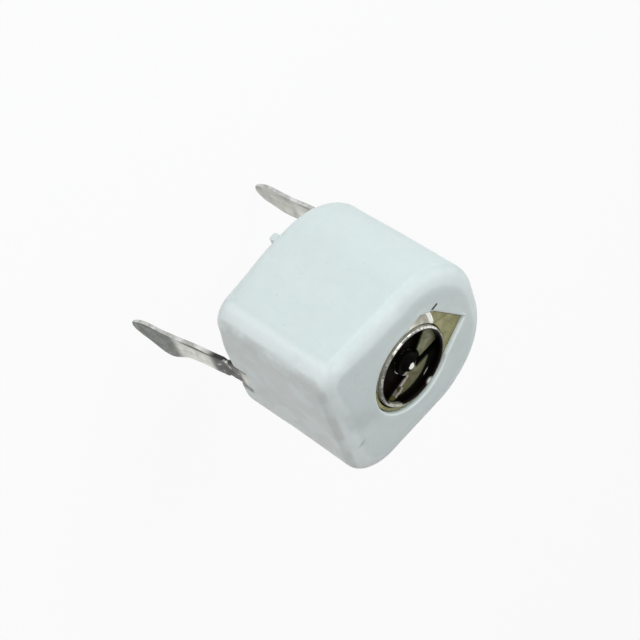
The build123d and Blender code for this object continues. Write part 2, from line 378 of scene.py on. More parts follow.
def make_contact_plate():
    """The CAD plate, with its raised pad carried on under the whole notch."""
    plate = bpy.data.objects.new("contact_sheet", nodes["contact_plate"].data.copy())
    scene.collection.objects.link(plate)
    share = (HOLE_R - FIT_PLAY) / HOLE_R
    # the pad fills the notch beyond about x = 1.20, between the opening's outline and the collar's circle
    outline = []
    for k in range(44):
        theta = math.radians(3 + k)
        r = share * opening_radius(theta)
        x, y = r * math.cos(theta), r * math.sin(theta)
        if x > 1.20 + 0.05 * (y - 0.7):
            outline.append((x, y))
    for k in range(15):
        theta = math.radians(31 - 2 * k)
        outline.append((COLLAR_R * math.cos(theta), COLLAR_R * math.sin(theta)))
    count = len(outline)
    verts = [(x, y, z) for z in (ROOF - 0.07, TOP - 0.12) for x, y in outline]
    faces = grid_faces(2, count, closed_cols=True) + [tuple(range(count)), tuple(range(count, 2 * count))]
    join_boolean(plate, make_object("pad", verts, faces))
    # sloping collar that leads from the opening up to the cup
    verts = []
    steps = 70
    root, crest = ROOF - 0.06, TOP - 0.10
    for k in range(steps + 1):
        theta = math.radians(lerp(32, 168, k / steps))
        outer = max(share * opening_radius(theta), COLLAR_R + 0.10)
        if outer * math.cos(theta) > COLLAR_END:
            outer = COLLAR_END / math.cos(theta)
        # the slope ends low beside the round hole and high next to the pad
        high = crest - 0.22 + 0.20 * min(max((56 - math.degrees(theta)) / 8, 0), 1)
        for r, z in ((COLLAR_R, root), (COLLAR_R, crest), (COLLAR_R + 0.025, crest + 0.01), (outer, high),
                     (outer, root)):
            verts.append((r * math.cos(theta), r * math.sin(theta), z))
    faces = grid_faces(steps + 1, 5, closed_cols=True)
    faces += [tuple(range(5)), tuple(range(steps * 5, steps * 5 + 5))]
    join_boolean(plate, make_object("collar", verts, faces))
    bevel = plate.modifiers.new("edges", "BEVEL")
    bevel.width = 0.012 * MM
    bevel.segments = 2
    bevel.limit_method = "ANGLE"
    bevel.angle_limit = math.radians(40)
    return plate


# leads and terminals
def hermite(points, x):
    """Smooth curve through points sorted by x, level beyond its two ends."""
    def slope(k):
        (xa, ya), (xb, yb) = points[max(k - 1, 0)], points[min(k + 1, len(points) - 1)]
        return (yb - ya) / (xb - xa)

    if x <= points[0][0]:
        return points[0][1]
    for k, ((x0, y0), (x1, y1)) in enumerate(zip(points, points[1:])):
        if x < x1:
            h = x1 - x0
            t = (x - x0) / h
            return ((2 * t ** 3 - 3 * t ** 2 + 1) * y0 + (t ** 3 - 2 * t ** 2 + t) * h * slope(k)
                    + (-2 * t ** 3 + 3 * t ** 2) * y1 + (t ** 3 - t ** 2) * h * slope(k + 1))
    return points[-1][1]


# half-widths of the blade's end, in units of LEAD_HALF, against the height over its tip
RIGHT = [(0.0, -0.19), (0.12, 0.28), (0.45, 0.55), (0.98, 0.80), (1.6, 0.96), (2.20, 1.0)]
LEFT = [(0.0, -0.19), (0.08, -0.42), (0.23, -0.62), (1.12, -1.16), (2.28, -1.90), (2.85, -1.99),
        (3.3, -1.93), (4.30, -1.45), (5.0, -1.08), (5.46, -1.0)]


def blade_edges(s, length, swell):
    """Left and right edge of the blade at height s over the tip; swell scales its swelling."""
    u = s / LEAD_HALF
    w = LEAD_HALF
    right = w * hermite(RIGHT, u)
    left = hermite(LEFT, u)
    left = w * (left if left > -1 else swell * (left + 1) - 1)
    # sheared neck just below the seat
    z = s - length
    neck = 0.085 * math.exp(-((z - 0.03) / 0.085) ** 4)
    return left + neck, right - neck


def strip_stations(side, lean, length, swell, riser_top):
    """Sections along a bent strip, from the blade's tip on: middle, sheet normal, two edges, thickness."""
    tilt = math.radians(lean)
    stations = []
    # along the blade from tip to seat
    reach = length + GAP
    n_blade = 96
    for k in range(n_blade + 1):
        # closer steps at the rounded tip
        t = k / n_blade
        s = reach * (1 - math.cos(math.pi * min(t, 0.35) / 2))
        if t >= 0.35:
            s = lerp(s, reach, (t - 0.35) / 0.65)
        left, right = blade_edges(max(s, 0.004), length, swell)
        down = reach - s
        # slight bow of a hand-cut lead
        bow = 0.030 * math.sin(math.pi * min(max(s / reach, 0), 1)) - 0.012 * math.sin(3 * s)
        x = side * (LEAD_X + math.sin(tilt) * down - side * bow)
        z = GAP - math.cos(tilt) * down
        thick = LEAD_T * lerp(0.86, 1.0, min(max((s - 0.9) / 1.6, 0), 1))
        thick *= lerp(0.55, 1.0, min(s / 0.30, 1.0))
        # across direction in the sheet's plane is y; the sheet's normal tilts with the lean
        stations.append(((x, z), (side * math.cos(tilt), math.sin(tilt)), left, right, thick))
    # wall bend and strap: straight up, then a round bend inwards
    w = LEAD_HALF
    mid_z = (STRAP_Z + STRAP_TOP) / 2
    bend = 0.11
    for z in (0.32, 0.45, 0.60, mid_z - bend):
        stations.append(((side * LEAD_X, z), (side, 0.0), -w, w, LEAD_T))
    for k in range(1, 9):
        a = math.radians(90 * k / 8)
        x = LEAD_X - bend * (1 - math.cos(a))
        z = mid_z - bend * (1 - math.sin(a))
        stations.append(((side * x, z), (side * math.cos(a), math.sin(a)), -w, w, LEAD_T))
    if riser_top is None:
        for x in (2.5, 2.2, 1.9, 1.40):
            stations.append(((side * x, mid_z), (0.0, 1.0), -w, w, LEAD_T))
    else:
        xr = HALF_X - WALL - RISER_PLAY - LEAD_T / 2
        stations.append(((side * (xr + bend + 0.05), mid_z), (0.0, 1.0), -w, w, LEAD_T))
        for k in range(9):
            a = math.radians(90 * k / 8)
            x = xr + bend * (1 - math.sin(a))
            z = mid_z + bend * (1 - math.cos(a))
            stations.append(((side * x, z), (side * math.sin(a), math.cos(a)), -w, w, LEAD_T))
        for z in (1.6, 2.6, 3.6, riser_top):
            stations.append(((side * xr, z), (side, 0.0), -w, w, LEAD_T))
    return stations


def strip_section(half_w, half_t):
    """Rounded rectangle, in points across and out of the sheet."""
    r = min(0.030, half_w * 0.8, half_t * 0.8)
    points = []
    for cx, cy, start in ((1, 1, 0), (-1, 1, 90), (-1, -1, 180), (1, -1, 270)):
        for k in range(4):
            a = math.radians(start + 90 * k / 3)
            points.append((cx * (half_w - r) + r * math.cos(a), cy * (half_t - r) + r * math.sin(a)))
        if cx == cy:
            # extra points along the broad face that follows, so that it can wave a little
            v, h = points[-1]
            points += [(lerp(v, -v, m / 8), h) for m in range(1, 8)]
    return points


def make_terminal(name, side, lean, length, swell, riser_top=None):
    """One bent strip: blade, wall bend, strap, and a riser where riser_top is given."""
    stations = strip_stations(side, lean, length, swell, riser_top)
    verts = []
    for (x, z), (nx, nz), left, right, thick in stations:
        section = strip_section(max((right - left) / 2, 0.012), thick / 2)
        cols = len(section)
        for v, h in section:
            if z < 0.1:
                h += 0.006 * rough(v, z, x, 1.6, 5.0 + side)
            verts.append((x + nx * h, LEAD_Y + (right + left) / 2 + v, z + nz * h))
    faces = grid_faces(len(stations), cols, closed_cols=True)
    faces.append(tuple(range(cols)))
    faces.append(tuple(range((len(stations) - 1) * cols, len(stations) * cols)))
    if riser_top is None:
        base = len(verts)
        n = 96
        inner, outer = 2 * SHAFT_R, 0.75 * STATOR_R
        for pr, pz in ((inner, STRAP_Z), (inner, STRAP_TOP), (outer, STRAP_TOP), (outer, STRAP_Z)):
            for k in range(n):
                a = 2 * math.pi * k / n
                verts.append((pr * math.cos(a), pr * math.sin(a), pz))
        faces += [tuple(base + v for v in f) for f in grid_faces(4, n, closed_rows=True, closed_cols=True)]
    obj = make_object(name, verts, faces, sharp=40.0)
    # 1 on the cut edges of the sheet, 0 on its broad faces
    cut = obj.data.attributes.new("cut_edge", "FLOAT", "FACE")
    cut.data.foreach_set("value", [1.0 if abs(p.normal.y) > 0.6 else 0.0 for p in obj.data.polygons])
    return obj


# round pieces
def revolve(name, profile, n=192, shake=None, closed=True, sharp=38.0):
    """Turned piece from a profile of (radius, height), with an optional shake of each point."""
    verts = []
    for k, (r, z) in enumerate(profile):
        for i in range(n):
            a = 2 * math.pi * i / n
            dr, dz = shake(a, r, z) if shake else (0.0, 0.0)
            verts.append(((r + dr) * math.cos(a), (r + dr) * math.sin(a), z + dz))
    faces = grid_faces(len(profile), n, closed_rows=closed, closed_cols=True)
    return make_object(name, verts, faces, sharp)


def make_cup():
    """Plated cup: rolled rim that is not quite even, wall and flange."""
    r = (CUP_OUT - CUP_IN) / 2
    mid = (CUP_IN + CUP_OUT) / 2
    profile = [(CUP_IN, z) for z in (FLANGE_Z, 4.0, 4.4, 4.6, 4.74, 4.81)]
    for k in range(11):
        a = math.radians(180 - 18 * k)
        profile.append((mid + r * math.cos(a), TOP - r + r * math.sin(a)))
    profile += [(CUP_OUT, z) for z in (4.80, 4.6, 4.2, FLANGE_Z + 0.16)]
    profile += [(CUP_OUT + 0.04, FLANGE_Z + 0.12), (FLANGE_R - 0.03, FLANGE_Z + 0.12),
                (FLANGE_R, FLANGE_Z + 0.09), (FLANGE_R, FLANGE_Z)]

    def shake(a, pr, pz):
        if pz < 4.5:
            return 0.0, 0.0
        x, y = math.cos(a), math.sin(a)
        fade = min((pz - 4.5) / 0.3, 1.0)
        dr = 0.007 * noise.noise(Vector((x * 2.1, y * 2.1, 4.0)))
        dr += 0.003 * noise.noise(Vector((x * 9, y * 9, 1.0)))
        dz = -0.006 - 0.006 * noise.noise(Vector((x * 3.1, y * 3.1, 9.0)))
        return fade * dr, fade * dz
    return revolve("cup_shell", profile, n=288, shake=shake)


def make_rivet():
    """Shaft with a staked head in the cup and a round foot under the base."""
    top = PLATE_TOP + NUB_H
    dome = ((0.0006, 0.022), (0.04, 0.018), (0.07, 0.008), (0.10, 0.002), (0.13, 0.010),
            (0.165, 0.034), (0.195, 0.068), (0.215, 0.108), (0.228, 0.135))
    head = [(r, top - drop) for r, drop in dome] + [(0.245, PLATE_TOP + 0.012), (0.255, PLATE_TOP + 0.002)]
    body = [(NUB_NECK, PLATE_TOP - 0.01), (NUB_NECK, PLATE_LOW), (SHAFT_R, PLATE_LOW - 0.001),
            (SHAFT_R, WASHER_Z)]
    foot_r = 1.55 * SHAFT_R
    foot = [(foot_r - 0.02, WASHER_Z), (foot_r, WASHER_Z - 0.02), (foot_r, RIVET_Z + 0.06),
            (foot_r - 0.018, RIVET_Z + 0.022), (foot_r - 0.06, RIVET_Z), (0.30, RIVET_Z),
            (0.25, RIVET_Z + 0.02), (0.0006, RIVET_Z + 0.035)]

    def shake(a, r, z):
        if z > PLATE_TOP and r > 0.02:
            x, y = math.cos(a), math.sin(a)
            dr = 0.012 * noise.noise(Vector((x * 1.3, y * 1.3, 2.0)))
            return dr, -0.008 - 0.008 * noise.noise(Vector((x * 2, y * 2, r * 9)))
        return 0.0, -0.008 if z > PLATE_TOP else 0.0
    return revolve("rivet_turned", head + body + foot, n=128, shake=shake, closed=False)


# materials
class Nodes:
    """Small builder for one procedural material, measured in millimetres of the object."""

    def __init__(self, name):
        self.mat = bpy.data.materials.new(name)
        self.mat.use_nodes = True
        self.tree = self.mat.node_tree
        self.shader = self.tree.nodes["Principled BSDF"]
        coord = self.tree.nodes.new("ShaderNodeTexCoord")
        scale = self.tree.nodes.new("ShaderNodeMapping")
        scale.inputs["Scale"].default_value = (1 / MM,) * 3
        self.feed(scale.inputs["Vector"], coord.outputs["Object"])
        self.vector = scale.outputs["Vector"]
        self.normal = coord.outputs["Normal"]

    def feed(self, socket, value):
        """Puts a number, a colour or another node's output into a socket."""
        if isinstance(value, (int, float)):
            socket.default_value = value
        elif isinstance(value, tuple):
            socket.default_value = (*value, 1)
        else:
            self.tree.links.new(value, socket)

    def axes(self, vector=None):
        node = self.tree.nodes.new("ShaderNodeSeparateXYZ")
        self.feed(node.inputs["Vector"], vector or self.vector)
        return node.outputs["X"], node.outputs["Y"], node.outputs["Z"]

    def stretch(self, scale):
        node = self.tree.nodes.new("ShaderNodeMapping")
        node.inputs["Scale"].default_value = scale
        self.feed(node.inputs["Vector"], self.vector)
        return node.outputs["Vector"]

    def noise(self, scale, detail=3.0, roughness=0.55, distortion=0.0, vector=None):
        node = self.tree.nodes.new("ShaderNodeTexNoise")
        settings = {"Scale": scale, "Detail": detail, "Roughness": roughness, "Distortion": distortion}
        for key, value in settings.items():
            node.inputs[key].default_value = value
        self.feed(node.inputs["Vector"], vector or self.vector)
        return node.outputs["Fac"]

    def ramp(self, fac, stops):
        node = self.tree.nodes.new("ShaderNodeValToRGB")
        elements = node.color_ramp.elements
        while len(elements) < len(stops):
            elements.new(0.5)
        for element, (place, colour) in zip(elements, stops):
            element.position = place
            element.color = (*colour, 1)
        self.feed(node.inputs["Fac"], fac)
        return node.outputs["Color"]

    def span(self, value, a, b, c=0.0, d=1.0):
        """c up to a and d from b on, with a smooth step between."""
        node = self.tree.nodes.new("ShaderNodeMapRange")
        node.interpolation_type = "SMOOTHSTEP"
        for key, number in zip(("From Min", "From Max", "To Min", "To Max"), (a, b, c, d)):
            node.inputs[key].default_value = number
        self.feed(node.inputs["Value"], value)
        return node.outputs["Result"]

    def math(self, kind, a, b=0.0):
        node = self.tree.nodes.new("ShaderNodeMath")
        node.operation = kind
        self.feed(node.inputs[0], a)
        self.feed(node.inputs[1], b)
        return node.outputs["Value"]

    def times(self, first, *others):
        for other in others:
            first = self.math("MULTIPLY", first, other)
        return first

    def most(self, first, *others):
        for other in others:
            first = self.math("MAXIMUM", first, other)
        return first

    def without(self, mask):
        return self.math("SUBTRACT", 1.0, mask)

    def length(self, a, b):
        return self.math("SQRT", self.math("ADD", self.times(a, a), self.times(b, b)))

    def band(self, value, a, b, c, d):
        """1 from b to c, falling smoothly to 0 at a and d."""
        return self.times(self.span(value, a, b), self.span(value, c, d, 1.0, 0.0))

    def turned(self, flat, centre, turn):
        """Coordinates in the plane of two axes, from a centre and turned by an angle in radians."""
        a, b = (self.math("SUBTRACT", axis, middle) for axis, middle in zip(flat, centre))
        c, s = math.cos(turn), math.sin(turn)
        along = self.math("ADD", self.times(a, c), self.times(b, s))
        aside = self.math("SUBTRACT", self.times(b, c), self.times(a, s))
        return along, aside

    def blot(self, flat, centre, half, turn, soft=0.25, ragged=0.0):
        """Soft-edged oval mask, its longer half turned by an angle in degrees; ragged frays its edge."""
        along, aside = self.turned(flat, centre, math.radians(turn))
        reach = self.length(self.math("DIVIDE", along, half[0]), self.math("DIVIDE", aside, half[1]))
        if ragged:
            fray = self.span(self.noise(2.6, 4, 0.6), 0.25, 0.75, -ragged, ragged)
            reach = self.math("ADD", reach, fray)
        return self.span(reach, 1 - soft, 1 + soft, 1.0, 0.0)

    def mix(self, fac, a, b):
        node = self.tree.nodes.new("ShaderNodeMix")
        node.data_type = "RGBA"
        # of the node's sockets, 6 and 7 are its two colours and output 2 is the mixed one
        self.feed(node.inputs["Factor"], fac)
        self.feed(node.inputs[6], a)
        self.feed(node.inputs[7], b)
        return node.outputs[2]

    def bump(self, height, distance, strength):
        node = self.tree.nodes.new("ShaderNodeBump")
        node.inputs["Distance"].default_value = distance * MM
        node.inputs["Strength"].default_value = strength
        self.feed(node.inputs["Height"], height)
        self.feed(self.shader.inputs["Normal"], node.outputs["Normal"])

    def put(self, **sockets):
        names = {"colour": "Base Color", "metal": "Metallic", "rough": "Roughness",
                 "specular": "Specular IOR Level", "sub": "Subsurface Weight"}
        for key, value in sockets.items():
            self.feed(self.shader.inputs[names[key]], value)


def case_plastic():
    """White moulding: faint clouds and specks, rounded edges painted paler as painted light, handling marks,
    the -X side darkened in mottled patches partly as painted shade, the inside of the slit painted dark as
    painted shade.
    """
    m = Nodes("case_moulding")
    x, y, z = m.axes()
    out_x, out_y, out_z = m.axes(m.normal)
    colour = m.ramp(m.noise(0.55, 3), [(0.30, (0.705, 0.775, 0.765)), (0.52, (0.735, 0.795, 0.785)),
                                       (0.72, (0.755, 0.795, 0.790))])
    colour = m.mix(m.span(m.noise(7.0, 2, 0.6), 0.66, 0.78), colour, (0.66, 0.71, 0.69))
    cloud = m.span(m.noise(1.6, 4, 0.6, 0.4), 0.35, 0.75, 0.0, 0.65)
    colour = m.mix(cloud, colour, (0.70, 0.765, 0.74))
    # the rounded edges are painted paler as painted light: top edge, corner between -X and +Y, lower rim
    top_edge = m.times(m.band(out_z, 0.55, 0.88, 0.975, 0.9995), m.span(z, 4.30, 4.50))
    corner = m.times(m.band(out_x, -0.998, -0.86, -0.40, -0.08), m.span(out_y, 0.10, 0.30))
    low_edge = m.span(out_z, -0.60, -0.15, 0.8, 0.0)
    edge_painted_light = m.times(m.most(top_edge, corner, low_edge), m.span(m.noise(1.3, 3), 0.30, 0.60, 0.65, 1.0), 0.8)
    colour = m.mix(edge_painted_light, colour, (0.89, 0.94, 0.93))
    # marks: a pale flake and a streak on the -X side, a smudge and a dot on the adjusting face; the rest of
    # the -X side is darkened in mottled patches, partly mottling and partly painted shade
    side = m.span(x, -2.85, -2.75, 1.0, 0.0)
    face = m.span(z, 4.80, 4.86)
    flake = m.times(side, m.blot((y, z), (-0.98, 2.18), (0.82, 0.34), 52, 0.18, 0.30))
    streak = m.times(side, m.blot((y, z), (-0.05, 3.80), (0.55, 0.15), 112, 0.45, 0.35))
    smudge = m.times(face, m.blot((x, y), (-2.20, 0.10), (0.80, 0.35), -42, 0.6))
    dot = m.times(face, m.blot((x, y), (-2.42, -0.86), (0.13, 0.07), 30, 0.8))
    # dull is that mottled darkening of the -X side, partly painted shade
    dull = m.times(side, m.without(m.most(flake, streak)))
    for mask, share, tint in ((dull, m.span(m.noise(1.1, 3), 0.38, 0.55, 0.15, 0.75), (0.655, 0.685, 0.67)),
                              (flake, 0.65, (0.75, 0.80, 0.785)),
                              (streak, 0.7, (0.77, 0.79, 0.75)),
                              (smudge, m.span(m.noise(1.6, 2), 0.30, 0.60, 0.35, 0.65), (0.60, 0.645, 0.625)),
                              (dot, 0.6, (0.45, 0.48, 0.43))):
        colour = m.mix(m.times(mask, share), colour, tint)
    # painted shade: the inside of the slit is painted dark
    along, aside = m.turned((x, y), (SLIT_X, SLIT_Y), SLIT_TURN)
    slit = m.times(m.span(m.math("ABSOLUTE", aside), 0.085, 0.095, 1.0, 0.0),
                   m.band(along, -0.05, -0.03, 0.20, 0.22), m.span(z, TOP - 0.03, TOP - 0.012, 1.0, 0.0))
    colour = m.mix(slit, colour, (0.17, 0.18, 0.16))
    m.put(colour=colour, rough=m.span(m.noise(2.2, 4), 0.3, 0.7, 0.40, 0.54), specular=0.45, sub=0.12)
    m.shader.inputs["Subsurface Radius"].default_value = (1.0, 1.0, 0.95)
    m.shader.inputs["Subsurface Scale"].default_value = 0.22 * MM
    relief = m.math("ADD", m.times(m.noise(26.0, 2, 0.5), 0.35), m.noise(4.5, 3, 0.55))
    m.bump(m.math("ADD", relief, m.times(m.math("ADD", flake, streak), 1.4)), 0.017, 0.7)
    return m.mat


def base_plastic():
    m = Nodes("base_moulding")
    tone = m.ramp(m.noise(0.9, 3), [(0.3, (0.60, 0.60, 0.56)), (0.7, (0.68, 0.68, 0.64))])
    m.put(colour=tone, rough=m.span(m.noise(3.0), 0.3, 0.7, 0.50, 0.66), specular=0.4)
    m.bump(m.noise(18.0, 3), 0.010, 0.5)
    return m.mat


def lead_metal(name, dark_z, dull, stain_and_shade_share):
    """Tin-plated sheet: drawn lines, dull end, bright cut edges, and a dark patch about the height dark_z,
    partly staining and partly painted shade where the lead runs into the case.
    """
    m = Nodes(name)
    _x, y, z = m.axes()
    lines = m.noise(1.0, 4, 0.6, vector=m.stretch((9.0, 9.0, 0.8)))
    tone = m.ramp(m.noise(1.1, 4, 0.62, 0.6), [(0.32, (0.38, 0.38, 0.345)), (0.46, (0.60, 0.60, 0.56)),
                                               (0.58, (0.74, 0.735, 0.685)), (0.72, (0.84, 0.83, 0.78))])
    tone = m.mix(m.span(lines, 0.35, 0.65, 0.0, 0.40), tone, (0.34, 0.34, 0.30))
    # the swollen end is duller than the stem, and a dark line runs along the stem's +Y side
    tone = m.mix(m.span(z, dark_z - 2.15, dark_z - 1.75, dull, 0.0), tone, (0.060, 0.070, 0.058))
    line = m.times(m.span(y, -0.17, -0.12), m.span(z, dark_z - 1.9, dark_z - 1.4),
                   m.span(lines, 0.30, 0.50, 0.3, 0.9))
    tone = m.mix(line, tone, (0.06, 0.06, 0.05))
    edge = m.tree.nodes.new("ShaderNodeAttribute")
    edge.attribute_name = "cut_edge"
    bright = m.mix(m.span(m.noise(2.6, 3), 0.35, 0.65), (0.72, 0.73, 0.72), (0.44, 0.44, 0.42))
    tone = m.mix(edge.outputs["Fac"], tone, bright)
    # dark patch near the case: partly staining, partly painted shade at the slot
    stain_and_shade = m.times(m.band(z, dark_z - 0.70, dark_z - 0.35, dark_z + 0.45, dark_z + 0.75),
                    m.span(m.noise(2.6, 3, 0.6, 0.5), 0.30, 0.44), stain_and_shade_share)
    tone = m.mix(stain_and_shade, tone, (0.030, 0.027, 0.024))
    m.put(colour=tone, metal=m.span(stain_and_shade, 0.0, 1.0, 1.0, 0.3),
          rough=m.span(m.noise(5.0, 3), 0.3, 0.7, 0.28, 0.46))
    m.bump(m.math("ADD", lines, m.times(m.noise(9.0, 3), 0.5)), 0.008, 0.6)
    return m.mat


def cup_metal():
    """Plated rim with painted highlights on its +Y side and painted shade on its -Y side, duller outer wall,
    inner wall painted black as painted shade but for one end, with a painted glint.
    """
    m = Nodes("cup_plating")
    x, y, z = m.axes()
    r = m.length(x, y)
    tone = m.ramp(m.noise(2.6, 4, 0.6, 0.4), [(0.34, (0.10, 0.10, 0.09)), (0.48, (0.24, 0.24, 0.22)),
                                              (0.62, (0.42, 0.42, 0.39))])
    # painted highlights on the rim, at +X +Y and at +Y
    painted_highlight_xy = m.times(m.span(x, 0.45, 0.65), m.span(y, 0.40, 0.60))
    painted_highlight_y = m.times(m.band(x, -0.52, -0.42, -0.12, -0.02), m.span(y, 0.9, 1.1))
    tone = m.mix(m.most(painted_highlight_xy, painted_highlight_y), tone, (0.85, 0.84, 0.78))
    tone = m.mix(m.span(m.noise(15.0, 2, 0.6), 0.54, 0.62, 0.0, 0.7), tone, (0.05, 0.05, 0.04))
    # the rim is painted dark on the -Y side as painted shade
    worn = m.times(m.span(y, -0.55, 0.25, 1.0, 0.0), m.span(x, -0.75, -0.25), 0.85)
    tone = m.mix(worn, tone, (0.045, 0.042, 0.035))
    # the inner wall is painted near black as painted shade, with a painted glint near its top
    inner = m.span(r, CUP_IN + 0.040, CUP_IN + 0.070, 1.0, 0.0)
    glint = m.times(m.blot((x, y), (0.38, -1.16), (0.11, 0.035), 18, 0.6), m.span(z, TOP - 0.10, TOP - 0.07))
    inner_painted_shade = m.mix(glint, (0.006, 0.005, 0.004), (0.50, 0.50, 0.47))
    # the painted shade is left off the inner wall at its -X -Y end, which keeps a plating tone, but for a dark
    # line of painted shade at the drive plate
    unshaded_end = m.times(m.span(x, -0.84, -0.70, 1.0, 0.0), m.span(y, -0.50, -0.36, 1.0, 0.0),
                    m.span(z, PLATE_TOP + 0.04, PLATE_TOP + 0.08),
                    m.span(m.noise(6.0, 2), 0.30, 0.50, 0.6, 1.0))
    inner_painted_shade = m.mix(unshaded_end, inner_painted_shade, (0.50, 0.49, 0.42))
    outer = m.times(m.span(r, CUP_OUT - 0.03, CUP_OUT - 0.012), m.span(z, TOP - 0.07, TOP - 0.04, 1.0, 0.0))
    wall = m.ramp(m.noise(3.5, 3), [(0.35, (0.40, 0.385, 0.32)), (0.65, (0.54, 0.53, 0.46))])
    m.put(colour=m.mix(inner, m.mix(outer, tone, wall), inner_painted_shade), metal=m.span(outer, 0.0, 1.0, 1.0, 0.25),
          rough=m.mix(inner, m.span(m.noise(6.0, 3), 0.3, 0.7, 0.16, 0.36), (0.5, 0.5, 0.5)))
    m.bump(m.noise(7.0, 3), 0.012, 0.5)
    return m.mat


def rivet_metal():
    """Staked head: a painted highlight in the middle, painted shade round its flank; plain plating below."""
    m = Nodes("rivet_head")
    x, y, z = m.axes()
    # painted highlight: a bright spot in the head's middle; painted shade: the rest of the head in the cup is
    # near black with almost no gloss
    spot = m.math("ADD", m.length(x, y), m.times(m.noise(9.0, 2), 0.20))
    bright = m.span(spot, 0.18, 0.22, 1.0, 0.0)
    shaft = m.ramp(m.noise(3.0, 4, 0.6), [(0.3, (0.34, 0.33, 0.31)), (0.7, (0.52, 0.51, 0.49))])
    head = m.mix(bright, (0.005, 0.0045, 0.004), (0.80, 0.78, 0.74))
    in_cup = m.span(z, PLATE_TOP - 0.05, PLATE_TOP - 0.03)
    dark = m.times(in_cup, m.without(bright))
    rough = m.math("ADD", m.span(m.noise(6.0, 3), 0.3, 0.7, 0.16, 0.32), m.times(dark, 0.5))
    m.put(colour=m.mix(in_cup, shaft, head), metal=m.span(dark, 0.0, 1.0, 1.0, 0.0), rough=rough,
          specular=m.span(dark, 0.0, 1.0, 0.5, 0.01))
    m.bump(m.noise(9.0, 3), 0.010, 0.6)
    return m.mat


def drive_brass():
    """Dull brass, olive at the segment's -X end, painted black as painted shade round the rivet, on its sides
    and along the wall, with a painted glint.
    """
    m = Nodes("drive_brass")
    x, y, z = m.axes()
    fac = m.noise(2.4, 5, 0.62, 0.5)
    tone = m.ramp(fac, [(0.30, (0.085, 0.085, 0.045)), (0.50, (0.17, 0.17, 0.105)),
                        (0.75, (0.27, 0.265, 0.19))])
    tone = m.mix(m.span(x, -0.75, -0.40, 0.7, 0.0), tone, (0.14, 0.13, 0.012))
    tone = m.mix(m.span(y, -0.20, 0.10, 0.50, 0.0), tone, (0.085, 0.080, 0.018))
    # pale lip along the segment's edge, on the slot
    over = m.math("SUBTRACT", y, m.times(x, 0.27))
    lip = m.times(m.span(over, -0.50, -0.45), m.band(x, -0.86, -0.78, -0.16, -0.06),
                  m.span(y, -0.12, -0.06, 1.0, 0.0), m.span(m.noise(6.0, 2), 0.36, 0.50))
    tone = m.mix(lip, tone, (0.44, 0.39, 0.35))
    # painted shade round the rivet and on the plate's sides
    hub = m.times(m.span(m.length(x, y), 0.46, 0.50, 1.0, 0.0), m.span(y, -0.30, -0.18))
    sides = m.span(z, PLATE_TOP - 0.05, PLATE_TOP - 0.03, 1.0, 0.0)
    # painted shade along the cup's wall, but for the segment's -X end
    far = m.times(m.without(m.blot((x, y), (-0.13, 0.09), (1.03, 1.03), 0, 0.03)),
                  m.span(m.math("ADD", x, m.times(y, -0.3)), -0.60, -0.52), m.span(y, -0.30, -0.10, 1.0, 0.0))
    # painted glint near the cup's wall
    glint = m.blot((x, y), (0.50, -0.98), (0.13, 0.035), 30, 0.3)
    painted_shade = m.times(m.most(hub, sides, far), m.without(glint))
    tone = m.mix(glint, tone, (0.85, 0.84, 0.80))
    tone = m.mix(painted_shade, tone, (0.004, 0.004, 0.003))
    m.put(colour=tone, metal=m.span(painted_shade, 0.0, 1.0, 0.8, 0.0), rough=m.span(fac, 0.3, 0.7, 0.62, 0.42),
          specular=m.span(painted_shade, 0.0, 1.0, 0.5, 0.01))
    m.bump(m.math("ADD", m.noise(5.0, 3), m.noise(11.0, 2)), 0.010, 0.6)
    return m.mat


def contact_brass():
    """Dull olive brass, painted paler on the collar as painted light, with a painted highlight where the pad
    under the notch ends.
    """
    m = Nodes("contact_brass")
    x, y, _z = m.axes()
    fac = m.noise(2.4, 5, 0.62, 0.5)
    tone = m.ramp(fac, [(0.30, (0.20, 0.195, 0.09)), (0.55, (0.29, 0.28, 0.14)), (0.78, (0.36, 0.35, 0.19))])
    # painted light: the collar is painted paler
    collar = m.times(m.span(y, 0.30, 0.50), m.span(x, 1.18, 1.20, 1.0, 0.0))
    pale = m.ramp(m.noise(5.0, 3), [(0.35, (0.40, 0.385, 0.31)), (0.65, (0.55, 0.53, 0.45))])
    tone = m.mix(collar, tone, pale)
    # painted highlight where the pad under the notch ends
    highlight_streak = m.times(m.band(x, 1.04, 1.08, 1.215, 1.235), m.span(y, 0.70, 0.78))
    tone = m.mix(highlight_streak, tone, (0.97, 0.96, 0.90))
    scratches = m.noise(1.0, 3, 0.6, vector=m.stretch((2.0, 16.0, 2.0)))
    m.put(colour=tone, metal=m.span(collar, 0.0, 1.0, 0.85, 0.5), rough=m.span(fac, 0.3, 0.7, 0.53, 0.35))
    m.bump(m.math("ADD", scratches, m.noise(9.0, 2)), 0.006, 0.5)
    return m.mat


def dark_ceramic():
    m = Nodes("rotor_ceramic_ground")
    # the ceramic's own dark tone taken to near black with almost no gloss, partly painted shade in the cup
    tone = m.ramp(m.noise(1.3, 4), [(0.35, (0.002, 0.003, 0.0018)), (0.65, (0.005, 0.003, 0.002))])
    m.put(colour=tone, rough=m.span(m.noise(7.0, 3), 0.3, 0.7, 0.30, 0.50), specular=0.01)
    m.bump(m.noise(14.0, 3), 0.006, 0.4)
    return m.mat


def pale_ceramic():
    m = Nodes("stator_ceramic_fired")
    tone = m.ramp(m.noise(1.2, 4), [(0.3, (0.60, 0.56, 0.46)), (0.7, (0.70, 0.67, 0.58))])
    specks = m.span(m.noise(16.0, 2), 0.66, 0.74)
    m.put(colour=m.mix(specks, tone, (0.38, 0.34, 0.27)), rough=m.span(m.noise(5.0), 0.3, 0.7, 0.55, 0.75))
    m.bump(m.noise(20.0, 3), 0.010, 0.5)
    return m.mat


